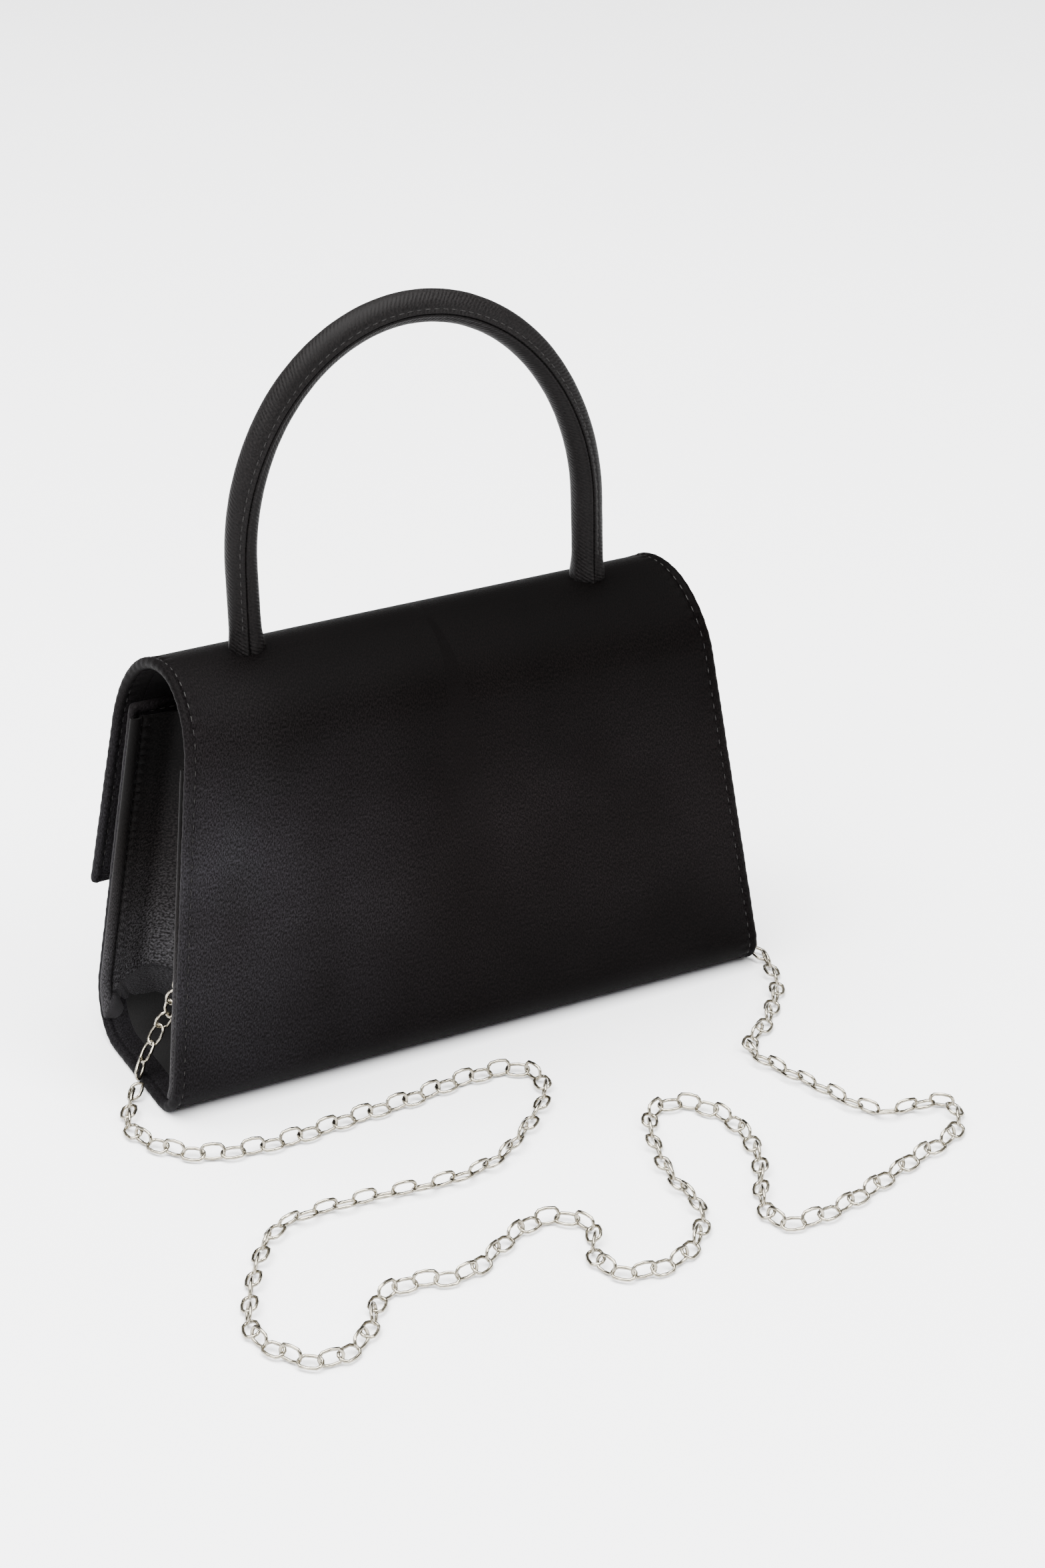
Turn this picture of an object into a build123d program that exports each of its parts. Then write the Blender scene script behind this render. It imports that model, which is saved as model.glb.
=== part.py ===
from build123d import *
import os
from math import cos, degrees, pi, radians, sin, sqrt, tan

# A satin evening bag that stands on its own base: a board-stiffened wrap runs from the
# front panel under the base, up the back, over the rounded top and down the front as the
# flap. Folded gussets close its ends, a padded tube handle stands on the top, and a cable
# chain strap hangs in both gussets and lies on the floor behind the bag.
# Millimetres, +Z up, floor at z = 0, flap towards -Y, +X is the bag's left seen from the
# back. The origin is in the middle of the bag's overall width and depth.

# Overall sizes of the wrap, on its outer satin face
base_width = 210.0            # side to side at the floor
top_width = 174.0             # side to side at the top of the rounded arch
body_height = 138.5           # floor to the top of the arch
base_flat = 39.3              # level part of the base, front to back
base_flat_front_y = -10.2     # where the level part starts
front_corner_radius = 18.2    # base to front panel
back_corner_radius = 12.7     # base to back panel
back_arch_radius = 25.0       # back panel to top
front_arch_radius = 38.3      # top to flap
arch_flat = 0.8               # level part between the two arch radii
back_lean = 3.6               # degrees that the back panel leans forward
front_lean = 8.2              # degrees that the front panel leans back
flap_lean = 11.1              # degrees that the flap stands off the vertical
front_height = body_height - 20.5      # floor to the front panel's top edge
flap_edge_height = 46.6       # floor to the flap's free edge
flap_corner_radius = 1.6
flap_hinge_turn = 40.0        # degrees down the front arch to the line the flap folds on
front_crease_rise = 3.0       # front panel's fold line above its corner radius
fold_gap = 0.3                # running gap along both fold lines

# Layers, outside to inside
satin_thickness = 0.6
board_thickness = 1.8
lining_thickness = 0.5
wall = satin_thickness + board_thickness + lining_thickness
board_gap = 0.6               # between the ends of two boards
top_board_height = body_height - 34.5  # where the back board ends and the arch board starts

# Gussets
gusset_depth = 30.0           # how far the fold reaches in from the side edge
gusset_return = 15.0          # how far it lies flat on each panel before it turns in
gusset_fold_y = 8.0           # the fold line, front to back
ply_thickness = 0.5           # satin ply outside, lining ply behind it
gusset_top = front_height - 4
flange_inset = 1.0            # from the panel's side edge
soft_gap = 0.3                # between soft pieces that move apart

# Handle
handle_half_span = 58.5       # middle of the bag to the middle of a leg
handle_y = 9.0
handle_spring_height = body_height + 26.5  # floor to where the legs start to curve
handle_rise = 71.7            # from there to the middle of the tube at the top
handle_diameter = 10.0
handle_cover_thickness = 0.6
slit_clearance = 0.9          # round the handle in the top, enough for its tilt
anchor_gap = 3.4              # lining to the anchor plate, enough for the handle's tilt
anchor_radius = 8.0
anchor_thickness = 1.2
rivet_radius = 1.25
rivet_head_radius = 2.6
rivet_head_thickness = 0.9
rivet_grip = 9.0              # length of the rivet in the handle's core

# Hidden magnets, one in the flap's board and one in the front panel's board
magnet_radius = 7.0
magnet_thickness = 1.4
magnet_clearance = 0.1
magnet_from_flap_edge = 15.0

# Slip pocket on the back lining
pocket_width = 110.0
pocket_thickness = 0.8
pocket_low = 30.0
pocket_high = body_height - 46.5

# Rings that carry the strap, in satin loops on the back panel's inner face
ring_radius = 5.0             # to the middle of the wire
ring_wire_radius = 0.8
loop_width = 5.0
loop_thickness = 0.7
loop_clearance = 0.6
tab_tail = 10.0
tab_height = body_height - 35.5        # floor to the loop's axis
tab_from_side = 8.5           # loop's middle in from the panel's side edge

# Chain strap: outer width of a link, and the corners of its route (x, y, z)
link_width = 5.8
strap_diameter = link_width
floor_z = strap_diameter / 2 + 0.05
left_run = [(84.3, 28.8, 93.2), (86.5, 28, 74), (90, 26, 51), (93, 19, 31), (94.5, 10, 18),
            (102, 11, 8.8)]
floor_points = [
    (109.5, 20), (119, 37), (117, 48), (111, 59), (101, 67), (79, 70), (56, 67), (35, 66),
    (16, 62), (-4, 63), (-7, 73), (-4, 83), (10, 97), (25, 110), (44, 114), (69, 110),
    (97, 109), (107, 119), (116, 133), (125, 151), (127, 161), (118, 179), (108, 181),
    (95, 171), (89, 158), (78, 155), (61, 162), (47, 152), (35, 145), (25, 144), (16, 156),
    (27, 169), (22, 183), (11, 184), (-1, 181), (-16, 163), (-14, 147), (-17, 131),
    (-25, 107), (-37, 105), (-46, 117), (-47, 134), (-41, 152), (-32, 165), (-28, 182),
    (-45, 183), (-66, 176), (-85, 168), (-105, 163), (-114, 143), (-89, 144), (-84, 133),
    (-79, 116), (-74, 101), (-71, 87), (-84, 80), (-92, 70), (-101, 60), (-106, 46),
    (-108.5, 33),
]
right_run = [(-103, 23, 9.5), (-95.5, 20, 25), (-91, 26, 48), (-86.5, 28, 74), (-84.3, 28.8, 93.2)]
run_share = 0.45              # share of the shorter run that each corner's arc takes

side_taper = (base_width - top_width) / 2 / body_height
far = base_width              # reach of a cutting solid


def run(length):
    """A straight step along the bag's side outline."""
    return ("run", length)


def turn(radius, angle):
    """A rounded step: the outline turns left, towards the inside of the bag."""
    return ("turn", radius, angle)


def step_end(place, step, depth=0.0):
    """Where one step ends, as (y, z, heading)."""
    y, z, heading = place
    if step[0] == "run":
        reach = step[1]
        return (y + reach * cos(radians(heading)), z + reach * sin(radians(heading)), heading)
    radius = step[1] - depth
    centre_y = y + radius * cos(radians(heading + 90))
    centre_z = z + radius * sin(radians(heading + 90))
    end = heading + step[2]
    return (centre_y + radius * cos(radians(end - 90)), centre_z + radius * sin(radians(end - 90)), end)


def place_after(steps):
    """The outer outline's place after some steps from the front panel's top edge."""
    place = front_top
    for step in steps:
        place = step_end(place, step)
    return place


def inside(place, depth):
    """The same place, moved in from the outer face by a depth."""
    y, z, heading = place
    return (y + depth * cos(radians(heading + 90)), z + depth * sin(radians(heading + 90)), heading)


def outline_edges(place, steps, depth):
    """Edges of an outline at a depth inside the outer face."""
    here = inside(place, depth)
    edges = []
    for step in steps:
        there = step_end(here, step, depth)
        if step[0] == "run":
            edges.append(Line((here[0], here[1]), (there[0], there[1])))
        else:
            tangent = (cos(radians(here[2])), sin(radians(here[2])))
            edges.append(JernArc((here[0], here[1]), tangent, step[1] - depth, step[2]))
        here = there
    return edges, here


def band(place, steps, near, deep, half_width):
    """A bent sheet between two depths, as wide as the bag or narrower."""
    outer, outer_end = outline_edges(place, steps, near)
    inner, inner_end = outline_edges(place, steps, deep)
    start = Line(inside(place, near)[:2], inside(place, deep)[:2])
    finish = Line(outer_end[:2], inner_end[:2])
    face = make_face(outer + inner + [start, finish])
    return extrude(Plane.YZ * face, amount=half_width, both=True)


def side_prism(inset):
    """Everything between the two tapered sides, moved in by an inset."""
    low = base_width / 2 + side_taper * far - inset
    high = base_width / 2 - side_taper * far - inset
    corners = [(-low, -far), (low, -far), (high, far), (-high, far)]
    face = make_face(Polyline(*corners, close=True))
    return extrude(Plane.XZ * face, amount=far, both=True)


def sheet(place, steps, near, deep, inset):
    """A bent sheet trimmed to the tapered sides."""
    return band(place, steps, near, deep, base_width) & side_prism(inset)


# The outline's steps, from the front panel's top edge to the flap's free edge
front_tangent_z = front_corner_radius * (1 - sin(radians(front_lean)))
corner_top_z = front_corner_radius * (1 + sin(radians(front_lean)))
front_length = (front_height - corner_top_z) / cos(radians(front_lean))
front_foot_y = base_flat_front_y - front_corner_radius * cos(radians(front_lean))
front_top_y = front_foot_y + front_length * sin(radians(front_lean))
front_top = (front_top_y, front_height, -90 - front_lean)
back_foot_z = back_corner_radius * (1 + sin(radians(back_lean)))
back_head_z = body_height - back_arch_radius * (1 - sin(radians(back_lean)))
back_length = (back_head_z - back_foot_z) / cos(radians(back_lean))
board_split = (top_board_height - back_foot_z) / cos(radians(back_lean))
flap_head_z = body_height - front_arch_radius * (1 - sin(radians(flap_lean)))
flap_length = (flap_head_z - flap_edge_height) / cos(radians(flap_lean))

front_steps = [run(front_length - front_crease_rise)]
crease_step = run(front_crease_rise)
front_corner = turn(front_corner_radius, 90 + front_lean)
back_corner = turn(back_corner_radius, 90 + back_lean)
base_steps = [crease_step, front_corner, run(base_flat), back_corner]
back_step = run(back_length)
arch_steps = [turn(back_arch_radius, 90 - back_lean), run(arch_flat),
              turn(front_arch_radius, flap_hinge_turn)]
flap_steps = [turn(front_arch_radius, 90 - flap_lean - flap_hinge_turn), run(flap_length)]

crease = place_after(front_steps)
back_foot = place_after(front_steps + base_steps)
arch_foot = place_after(front_steps + base_steps + [back_step])
flap_hinge = place_after(front_steps + base_steps + [back_step] + arch_steps)


def shortened(steps, at_start, at_end):
    """The same steps with their first and last runs cut short, for what a fold covers."""
    result = list(steps)
    if at_start:
        result[0] = run(result[0][1] - at_start)
    if at_end:
        result[-1] = run(result[-1][1] - at_end)
    return result


def flap_start(gap):
    """The flap's first place and steps, a running gap past the fold line."""
    angle = degrees(gap / front_arch_radius)
    place = step_end(flap_hinge, turn(front_arch_radius, angle))
    steps = [turn(front_arch_radius, flap_steps[0][2] - angle), flap_steps[1]]
    return place, steps


def front_start():
    """The front panel's steps, ending a running gap above its fold line."""
    return [run(front_steps[0][1] - fold_gap)]


def handle_solid(diameter, foot_z):
    """The handle's tube: two upright legs and half an ellipse."""
    left = Line((-handle_half_span, foot_z), (-handle_half_span, handle_spring_height))
    bow = EllipticalCenterArc((0, handle_spring_height), handle_half_span, handle_rise,
                              start_angle=0, arc_size=180)
    right = Line((handle_half_span, handle_spring_height), (handle_half_span, foot_z))
    path = Plane((0, handle_y, 0), x_dir=(1, 0, 0), z_dir=(0, -1, 0)) * Wire([left, bow, right])
    foot = Plane((-handle_half_span, handle_y, foot_z)) * Circle(diameter / 2)
    return sweep(foot, path=path)


def upright_pin(x, radius, low, high):
    """An upright cylinder on a handle leg's axis."""
    centre = Location((x, handle_y, (low + high) / 2))
    return centre * Cylinder(radius, high - low)


def handle_slits(solid):
    """Cut the two slits that the handle's legs stand in."""
    radius = handle_diameter / 2 + slit_clearance
    for side in (-1, 1):
        solid = solid - upright_pin(side * handle_half_span, radius, body_height - 30, body_height + 5)
    return solid


def rounded_flap(solid, inset):
    """Round the flap's two lower corners, seen from the front."""
    radius = flap_corner_radius - inset
    edge_z = flap_edge_height + inset * cos(radians(flap_lean))
    half = base_width / 2 - side_taper * edge_z - inset
    for side in (-1, 1):
        corner = make_face(Polyline((side * (half + 1), edge_z - 2), (side * (half - radius), edge_z - 2),
                                    (side * (half - radius), edge_z + radius),
                                    (side * (half + 1), edge_z + radius), close=True))
        disc = Pos(side * (half - radius), edge_z + radius) * Circle(radius)
        cutter = extrude(Plane.XZ * (corner - disc), amount=far, both=True)
        solid = solid - cutter
    return solid


def satin_cover(place, steps, core_place, core_steps, round_corners=False):
    """Outer satin: a skin on the wrap, turned round its side edges."""
    solid = sheet(place, steps, 0, wall, 0)
    pocket = sheet(core_place, core_steps, satin_thickness, wall + 1, satin_thickness)
    if round_corners:
        solid = rounded_flap(solid, 0)
        pocket = rounded_flap(pocket, satin_thickness)
    return solid - pocket


def body_satin():
    """Satin of the base, the back and the fixed part of the arch."""
    steps = base_steps + [back_step] + arch_steps
    return handle_slits(satin_cover(crease, steps, crease, steps))


def base_board():
    """Stiff base with both rounded corners."""
    return sheet(crease, base_steps, satin_thickness, satin_thickness + board_thickness, satin_thickness)


def back_board():
    """Flat board of the back panel."""
    place = step_end(back_foot, run(board_gap))
    steps = [run(board_split - board_gap)]
    return sheet(place, steps, satin_thickness, satin_thickness + board_thickness, satin_thickness)


def top_board():
    """Bent board that holds the arch's shape and carries the handle."""
    place = step_end(back_foot, run(board_split + board_gap))
    steps = [run(back_length - board_split - board_gap)] + arch_steps
    solid = sheet(place, steps, satin_thickness, satin_thickness + board_thickness, satin_thickness)
    return handle_slits(solid)


def body_lining():
    """Lining of the base, the back and the arch."""
    steps = base_steps + [back_step] + arch_steps
    solid = sheet(crease, steps, satin_thickness + board_thickness, wall, satin_thickness)
    return handle_slits(solid)


def front_satin():
    """Satin of the front panel, turned over its top edge."""
    place = step_end(front_top, run(satin_thickness))
    return satin_cover(front_top, front_start(), place, shortened(front_start(), satin_thickness, 0))


def front_board():
    """Flat board of the front panel, with a pocket for its magnet."""
    place = step_end(front_top, run(satin_thickness))
    steps = shortened(front_start(), satin_thickness, 0)
    solid = sheet(place, steps, satin_thickness, satin_thickness + board_thickness, satin_thickness)
    return solid - front_magnet(magnet_clearance)


def front_lining():
    """Lining of the front panel."""
    place = step_end(front_top, run(satin_thickness))
    steps = shortened(front_start(), satin_thickness, 0)
    return sheet(place, steps, satin_thickness + board_thickness, wall, satin_thickness)


def flap_satin():
    """Satin of the flap, turned over its free edges."""
    place, steps = flap_start(fold_gap)
    core_steps = shortened(steps, 0, satin_thickness)
    return satin_cover(place, steps, place, core_steps, round_corners=True)


def flap_board():
    """Bent board of the flap, with a pocket for its magnet."""
    place, steps = flap_start(fold_gap)
    steps = shortened(steps, 0, satin_thickness)
    solid = sheet(place, steps, satin_thickness, satin_thickness + board_thickness, satin_thickness)
    return rounded_flap(solid, satin_thickness) - flap_magnet(magnet_clearance)


def flap_lining():
    """Satin facing on the flap's inner side."""
    place, steps = flap_start(fold_gap)
    steps = shortened(steps, 0, satin_thickness)
    solid = sheet(place, steps, satin_thickness + board_thickness, wall, satin_thickness)
    return rounded_flap(solid, satin_thickness)


def disc_in_wall(place, clearance):
    """A magnet lying in the board's thickness at a place on the outline."""
    y, z, heading = inside(place, satin_thickness + board_thickness / 2)
    normal = (0, cos(radians(heading + 90)), sin(radians(heading + 90)))
    centre = Plane((0, y, z), x_dir=(1, 0, 0), z_dir=normal)
    return centre * Cylinder(magnet_radius + clearance, magnet_thickness + 2 * clearance)


def flap_magnet(clearance=0.0):
    """Magnet above the middle of the flap's free edge."""
    flap_head = step_end(flap_hinge, flap_steps[0])
    place = step_end(flap_head, run(flap_length - magnet_from_flap_edge))
    return disc_in_wall(place, clearance)


def front_magnet(clearance=0.0):
    """Magnet in the front panel, as high as the flap's."""
    height = flap_edge_height + magnet_from_flap_edge * cos(radians(flap_lean))
    place = step_end(front_top, run((front_height - height) / cos(radians(front_lean))))
    return disc_in_wall(place, clearance)


def hollow(gap_front):
    """The room inside the wrap, closed in front and over the top for trimming."""
    steps = front_steps + base_steps + [back_step] + arch_steps
    edges, end = outline_edges(front_top, steps, wall)
    start = inside(front_top, wall)
    closing = [Line(end[:2], (end[0], gusset_top - 2)), Line((end[0], gusset_top - 2), start[:2])]
    face = make_face(edges + closing)
    solid = extrude(Plane.YZ * face, amount=base_width, both=True)
    return solid - band(front_top, front_steps, 0, wall + gap_front, base_width)


def offset_points(points, distance):
    """Corners of an open outline moved to its left by a distance."""
    moved = []
    for index, here in enumerate(points):
        before = points[max(index - 1, 0)]
        after = points[min(index + 1, len(points) - 1)]
        first = (Vector(*here) - Vector(*before)) if index else (Vector(*after) - Vector(*here))
        second = (Vector(*after) - Vector(*here)) if here != after else first
        normal = first.normalized() + second.normalized()
        across = Vector(-normal.Y, normal.X).normalized()
        share = across.dot(Vector(-first.Y, first.X).normalized())
        moved.append(tuple(Vector(*here) + across * (distance / share))[:2])
    return moved


def place_at_front(z):
    """A place on the front panel's outer face at a height, its lean carried to the floor."""
    return (front_top_y - (front_height - z) * tan(radians(front_lean)), z, -90 - front_lean)


def place_at_back(z):
    """A place on the back panel's outer face at a height, its lean carried to the floor."""
    return (back_foot[0] - (z - back_foot_z) * tan(radians(back_lean)), z, 90 + back_lean)


def gusset_line(z):
    """The left gusset's outer face at a height: along the front panel, in to the fold and back."""
    side_x = base_width / 2 - side_taper * z
    front = inside(place_at_front(z), wall + 2 * ply_thickness + soft_gap)[0]
    back = inside(place_at_back(z), wall + 2 * ply_thickness)[0]
    return [(side_x - flange_inset, front), (side_x - gusset_return, front),
            (side_x - gusset_depth, gusset_fold_y), (side_x - gusset_return, back),
            (side_x - flange_inset, back)]


def gusset_ply(side, near, deep):
    """One folded ply of a gusset between two depths behind its outer face."""
    sections = []
    for z in (0.0, gusset_top):
        outer = offset_points(gusset_line(z), near)
        inner = offset_points(gusset_line(z), deep)
        outline = Polyline(*outer, *reversed(inner), close=True)
        sections.append(Pos(0, 0, z) * make_face(outline))
    solid = loft(sections, ruled=True) & hollow(soft_gap)
    return solid if side > 0 else mirror(solid, about=Plane.YZ)


def gusset(side):
    """Satin ply of a gusset."""
    return gusset_ply(side, 0, ply_thickness)


def gusset_lining(side):
    """Lining ply behind a gusset."""
    return gusset_ply(side, ply_thickness, 2 * ply_thickness)


def slip_pocket():
    """Flat pocket sewn to the back lining."""
    place = step_end(back_foot, run(pocket_low - back_foot_z))
    steps = [run(pocket_high - pocket_low)]
    return band(place, steps, wall, wall + pocket_thickness, pocket_width / 2)


def handle_foot_z():
    """Where the handle's tube ends, inside the bag."""
    return body_height - wall - anchor_gap


def handle_core():
    """Cord core of the handle, drilled for the rivets."""
    solid = handle_solid(handle_diameter - 2 * handle_cover_thickness, handle_foot_z())
    for side in (-1, 1):
        low = handle_foot_z()
        solid = solid - upright_pin(side * handle_half_span, rivet_radius, low - 1, low + rivet_grip)
    return solid


def handle_cover():
    """Satin sleeve on the handle."""
    core = handle_solid(handle_diameter - 2 * handle_cover_thickness, handle_foot_z() - 1)
    return handle_solid(handle_diameter, handle_foot_z()) - core


def handle_anchor(side):
    """Washer under a handle leg that stops it pulling out through the top."""
    top = handle_foot_z()
    plate = upright_pin(side * handle_half_span, anchor_radius, top - anchor_thickness, top)
    return plate - upright_pin(side * handle_half_span, rivet_radius, top - 5, top + 5)


def handle_rivet(side):
    """Rivet through a washer into the handle's core."""
    top = handle_foot_z()
    under = top - anchor_thickness
    pin = upright_pin(side * handle_half_span, rivet_radius, under - rivet_head_thickness, top + rivet_grip)
    head = upright_pin(side * handle_half_span, rivet_head_radius, under - rivet_head_thickness, under)
    return pin + head


def tab_plane(side):
    """Frame of a ring's loop: z points from the back panel into the bag."""
    loop_outer = ring_wire_radius + loop_sag() + loop_clearance + loop_thickness
    y, z, heading = inside(place_at_back(tab_height), wall + 2 * ply_thickness + loop_outer)
    x = side * (base_width / 2 - side_taper * tab_height - tab_from_side)
    normal = (0, cos(radians(heading + 90)), sin(radians(heading + 90)))
    return Plane((x, y, z), x_dir=(1, 0, 0), z_dir=normal)


def loop_sag():
    """How far the ring's curve drops across the loop's width."""
    return ring_radius - sqrt(ring_radius ** 2 - (loop_width / 2) ** 2)


def strap_tab(side):
    """Satin loop round the top of a ring, with a tail sewn to the back panel."""
    inner = ring_wire_radius + loop_sag() + loop_clearance
    outer = inner + loop_thickness
    eye = Rot(0, 90, 0) * (Cylinder(outer, loop_width) - Cylinder(inner, loop_width))
    tail = Pos(0, tab_tail / 2, -outer + loop_thickness / 2) * Box(loop_width, tab_tail, loop_thickness)
    return tab_plane(side) * (eye + tail)


def strap_ring(side):
    """Round ring that hangs in a loop."""
    drop = ring_radius - loop_sag() / 2
    return tab_plane(side) * (Pos(0, -drop, 0) * Torus(ring_radius, ring_wire_radius))


def strap():
    """Chain strap as a plain tube at its links' width, along its route on the floor."""
    points = left_run + [(x, y, floor_z) for x, y in floor_points] + right_run
    corners = [Vector(*point) for point in points]
    radii = []
    for before, here, after in zip(corners, corners[1:], corners[2:]):
        half_turn = radians((here - before).get_angle(after - here)) / 2
        shorter = min((here - before).length, (after - here).length)
        radii.append(run_share * shorter / tan(half_turn))
    print("strap radii:", [round(radius, 1) for radius in radii])
    route = FilletPolyline(*points, radius=radii)
    print("strap length:", round(route.length, 1))
    first = Plane(origin=route @ 0, z_dir=route % 0)
    solid = sweep(first * Circle(strap_diameter / 2), path=route)
    print("strap volume over section times length:",
          round(solid.volume / (route.length * pi * strap_diameter ** 2 / 4), 3))
    return solid


pieces = {
    "body_satin": body_satin(),
    "base_board": base_board(),
    "back_board": back_board(),
    "top_board": top_board(),
    "body_lining": body_lining(),
    "slip_pocket": slip_pocket(),
    "front_satin": front_satin(),
    "front_board": front_board(),
    "front_lining": front_lining(),
    "front_magnet": front_magnet(),
    "flap_satin": flap_satin(),
    "flap_board": flap_board(),
    "flap_lining": flap_lining(),
    "flap_magnet": flap_magnet(),
    "handle_core": handle_core(),
    "handle_cover": handle_cover(),
    "chain_strap": strap(),
}
for side, word in ((1, "left"), (-1, "right")):
    pieces["gusset_" + word] = gusset(side)
    pieces["gusset_lining_" + word] = gusset_lining(side)
    pieces["handle_anchor_" + word] = handle_anchor(side)
    pieces["handle_rivet_" + word] = handle_rivet(side)
    pieces["strap_tab_" + word] = strap_tab(side)
    pieces["strap_ring_" + word] = strap_ring(side)

os.makedirs("parts", exist_ok=True)
for name, piece in pieces.items():
    print(name, "solids", len(piece.solids()), "volume", round(piece.volume, 1))
    export_step(piece, "parts/" + name + ".step")
print("handle pivot z", round(body_height - wall / 2, 2))
print("flap hinge", [round(value, 3) for value in flap_hinge])
print("front crease", [round(value, 3) for value in crease])
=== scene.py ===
from math import cos, exp, hypot, pi, radians, sin, sqrt, tan

import bpy
from mathutils import Euler, Matrix, Vector, noise


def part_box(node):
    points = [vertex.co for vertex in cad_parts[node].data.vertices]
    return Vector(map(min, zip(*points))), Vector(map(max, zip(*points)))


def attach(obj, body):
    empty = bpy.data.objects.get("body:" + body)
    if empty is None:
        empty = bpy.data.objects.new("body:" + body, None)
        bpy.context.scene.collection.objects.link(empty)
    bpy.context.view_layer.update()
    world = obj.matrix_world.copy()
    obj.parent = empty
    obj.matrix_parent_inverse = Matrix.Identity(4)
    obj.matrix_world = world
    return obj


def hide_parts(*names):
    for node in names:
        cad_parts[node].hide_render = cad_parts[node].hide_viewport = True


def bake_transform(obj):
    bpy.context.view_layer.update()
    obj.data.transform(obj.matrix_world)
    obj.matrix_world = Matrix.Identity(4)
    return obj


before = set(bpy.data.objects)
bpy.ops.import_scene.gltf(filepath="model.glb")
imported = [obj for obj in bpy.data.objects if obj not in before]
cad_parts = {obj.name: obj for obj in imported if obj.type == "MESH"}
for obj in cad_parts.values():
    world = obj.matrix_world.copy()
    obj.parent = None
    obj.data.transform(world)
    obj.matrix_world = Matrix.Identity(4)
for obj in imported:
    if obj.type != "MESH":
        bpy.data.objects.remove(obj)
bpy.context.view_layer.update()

MM = 0.001

# ---------------------------------------------------------------------------------------
# Camera. A long lens looks down on the bag from behind and a little to its left, from a
# metre away, with a very slight tilt of the horizon.
camera_data = bpy.data.cameras.new("camera")
camera_data.sensor_width = 36
camera_data.lens = 76.53
camera_data.clip_end = 30
camera = bpy.data.objects.new("camera", camera_data)
bpy.context.scene.collection.objects.link(camera)
aim = Euler((radians(64.1), 0, radians(153.98))).to_matrix() @ Matrix.Rotation(radians(-1.334), 3, "Z")
camera.matrix_world = Matrix.Translation((0.3919, 0.8811, 0.5419)) @ aim.to_4x4()
bpy.context.scene.camera = camera

# ---------------------------------------------------------------------------------------
# Cable chain strap. Oval links of round wire, bent and butted cold, bright nickel plated.
# Each link hangs in the last at a quarter turn; both ends are hooked into a ring, and the
# whole strap, 1.16 m, lies in loose loops on the floor behind the bag.
link_pitch = 6.19 * MM
link_length = 8.2 * MM
link_width = 5.8 * MM
link_wire = 1.12 * MM
link_lean = ((16, 26), (78, 24))  # degrees of roll and of its wander, for links by turns
floor_reach = 4.5 * MM
floor_gap = 0.1 * MM
flat_lift = 1.7 * MM
floor_z = 2.95
strap_route = [
    (84.3, 28.8, 93.2), (86.5, 28, 74), (90, 26, 51), (93, 19, 31), (94.5, 10, 18), (102, 11, 8.8),
    (109.5, 20, floor_z), (119, 37, floor_z), (117, 48, floor_z), (111, 59, floor_z),
    (101, 67, floor_z), (79, 70, floor_z), (56, 67, floor_z), (35, 66, floor_z),
    (16, 62, floor_z), (-4, 63, floor_z), (-7, 73, floor_z), (-4, 83, floor_z),
    (10, 97, floor_z), (25, 110, floor_z), (44, 114, floor_z), (69, 110, floor_z),
    (97, 109, floor_z), (107, 119, floor_z), (116, 133, floor_z), (125, 151, floor_z),
    (127, 161, floor_z), (118, 179, floor_z), (108, 181, floor_z), (95, 171, floor_z),
    (89, 158, floor_z), (78, 155, floor_z), (61, 162, floor_z), (47, 152, floor_z),
    (35, 145, floor_z), (25, 144, floor_z), (16, 156, floor_z), (27, 169, floor_z),
    (22, 183, floor_z), (11, 184, floor_z), (-1, 181, floor_z), (-16, 163, floor_z),
    (-14, 147, floor_z), (-17, 131, floor_z), (-25, 107, floor_z), (-37, 105, floor_z),
    (-46, 117, floor_z), (-47, 134, floor_z), (-41, 152, floor_z), (-32, 165, floor_z),
    (-28, 182, floor_z), (-45, 183, floor_z), (-66, 176, floor_z), (-85, 168, floor_z),
    (-105, 163, floor_z), (-114, 143, floor_z), (-89, 144, floor_z), (-84, 133, floor_z),
    (-79, 116, floor_z), (-74, 101, floor_z), (-71, 87, floor_z), (-84, 80, floor_z),
    (-92, 70, floor_z), (-101, 60, floor_z), (-106, 46, floor_z), (-108.5, 33, floor_z),
    (-103, 23, 9.5), (-95.5, 20, 25), (-91, 26, 48), (-86.5, 28, 74), (-84.3, 28.8, 93.2),
]

line_data = bpy.data.curves.new("strap_line", "CURVE")
line_data.dimensions = "3D"
line_data.resolution_u = 12
spline = line_data.splines.new("NURBS")
spline.points.add(len(strap_route) - 1)
for point, place in zip(spline.points, strap_route):
    point.co = (place[0] * MM, place[1] * MM, place[2] * MM, 1)
spline.order_u = 3
spline.use_endpoint_u = True
line = bpy.data.objects.new("strap_line", line_data)
line_mesh = bpy.data.meshes.new_from_object(line)
strap_points = [vertex.co.copy() for vertex in line_mesh.vertices]
bpy.data.objects.remove(line)
bpy.data.meshes.remove(line_mesh)
bpy.data.curves.remove(line_data)

strap_reach = [0.0]
for before, after in zip(strap_points, strap_points[1:]):
    strap_reach.append(strap_reach[-1] + (after - before).length)


def strap_place(distance):
    """The point at a distance along the strap."""
    for index in range(1, len(strap_points)):
        if strap_reach[index] >= distance:
            share = (distance - strap_reach[index - 1]) / (strap_reach[index] - strap_reach[index - 1])
            return strap_points[index - 1].lerp(strap_points[index], share)
    return strap_points[-1].copy()


def only(piece):
    """Select one object alone, ready for operators."""
    bpy.ops.object.select_all(action="DESELECT")
    bpy.context.view_layer.objects.active = piece
    piece.select_set(True)
    return piece


def join(parts, name):
    """Join finished objects into one piece with a name."""
    only(parts[0])
    for part in parts:
        part.select_set(True)
    bpy.ops.object.join()
    piece = bpy.context.object
    piece.name = name
    piece.data.name = name
    return piece


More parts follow.
